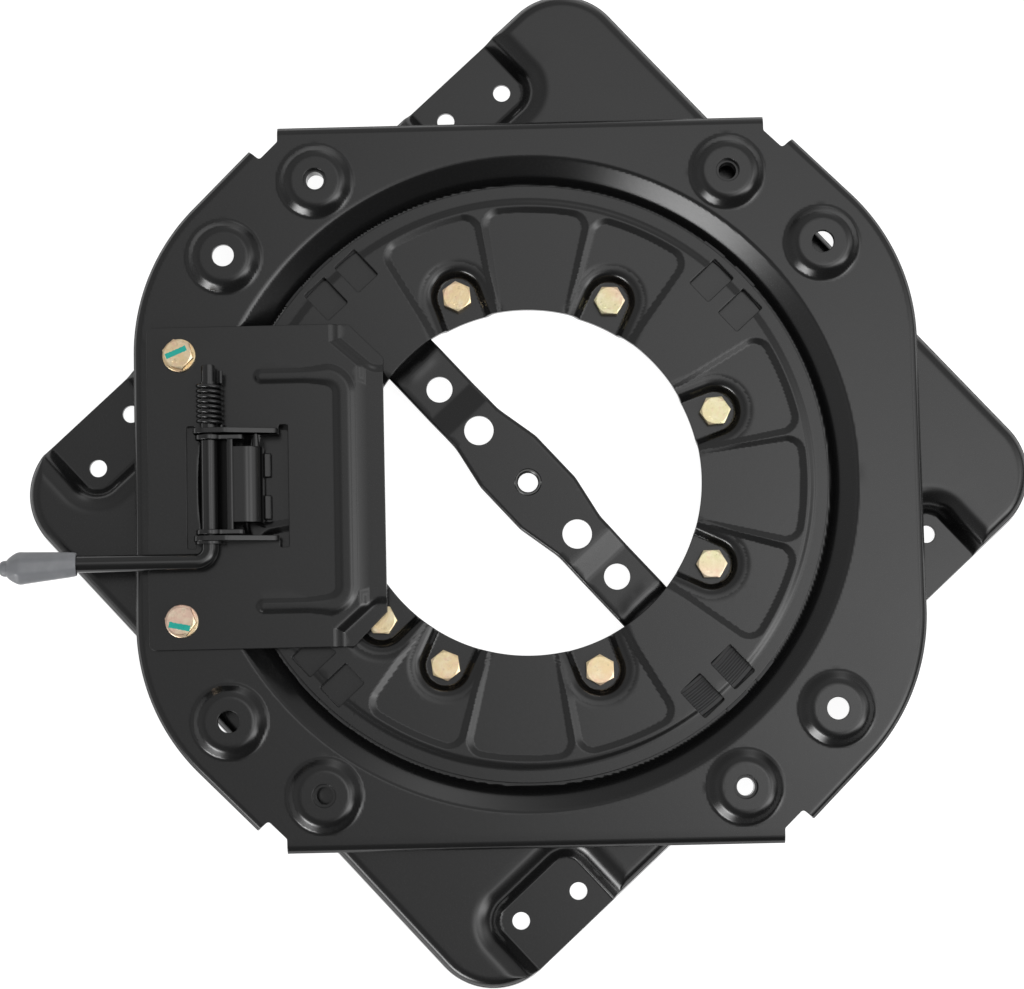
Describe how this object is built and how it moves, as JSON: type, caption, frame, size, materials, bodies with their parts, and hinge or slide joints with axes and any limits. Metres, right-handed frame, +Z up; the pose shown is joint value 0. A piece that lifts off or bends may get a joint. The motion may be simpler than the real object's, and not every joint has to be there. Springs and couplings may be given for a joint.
{
  "type": "swivel seat base",
  "caption": "Flat swivel base for a vehicle seat: pressed top plate with raised bosses that turns on a clamped ring over a drawn base plate, with a sprung lever latch.",
  "frame": {"origin": "on the swivel axis, in the middle of the threaded bush of the cross bar, 16.8 mm above the floor that the base's feet stand on", "axes": "+Z up along the swivel axis, +X from the latch lever towards the opposite side of the top plate, +Y to the left of +X; the top plate is square to X and Y and the base is turned 42.1 degrees under it, as pictured"},
  "size_m": [0.4951, 0.4854, 0.0519],
  "materials": {
    "coated_sheet": "satin black coating",
    "coated_rod": "gloss black coating",
    "spring_steel": "black spring steel",
    "plated_steel": "plain zinc plate",
    "yellow_zinc": "yellow zinc plate",
    "grip_plastic": "satin grey plastic",
    "slide_plastic": "dark grey sliding plastic"
  },
  "bodies": {
    "base": {"base_plate": "coated_sheet", "clamp_ring": "coated_sheet", "ring_bolts": "yellow_zinc", "ring_nuts": "yellow_zinc", "cross_bar": "coated_sheet", "centre_bush": "plated_steel", "lower_glide": "slide_plastic", "upper_glide": "slide_plastic"},
    "top": {"top_plate": "coated_sheet", "seat_nuts": "coated_sheet", "latch_plate": "coated_sheet", "latch_bolts": "yellow_zinc", "latch_washers": "yellow_zinc", "latch_nuts": "yellow_zinc", "lever_spring": "spring_steel"},
    "lever": {"lever_rod": "coated_rod", "lever_grip": "grip_plastic", "pawl": "coated_rod", "stop_pin": "coated_rod", "rod_lock_washer": "plated_steel"}
  },
  "joints": [
    {"name": "swivel", "type": "hinge", "parent": "base", "child": "top", "pos_m": [0, 0, 0], "axis": [0, 0, 1], "continuous": true},
    {"name": "lever_press", "type": "hinge", "parent": "top", "child": "lever", "pos_m": [-0.1515, 0, 0.0212], "axis": [0, -1, 0], "range_deg": [0, 9], "stiffness_Nm_per_rad": 1, "springref_deg": -28.65}
  ]
}
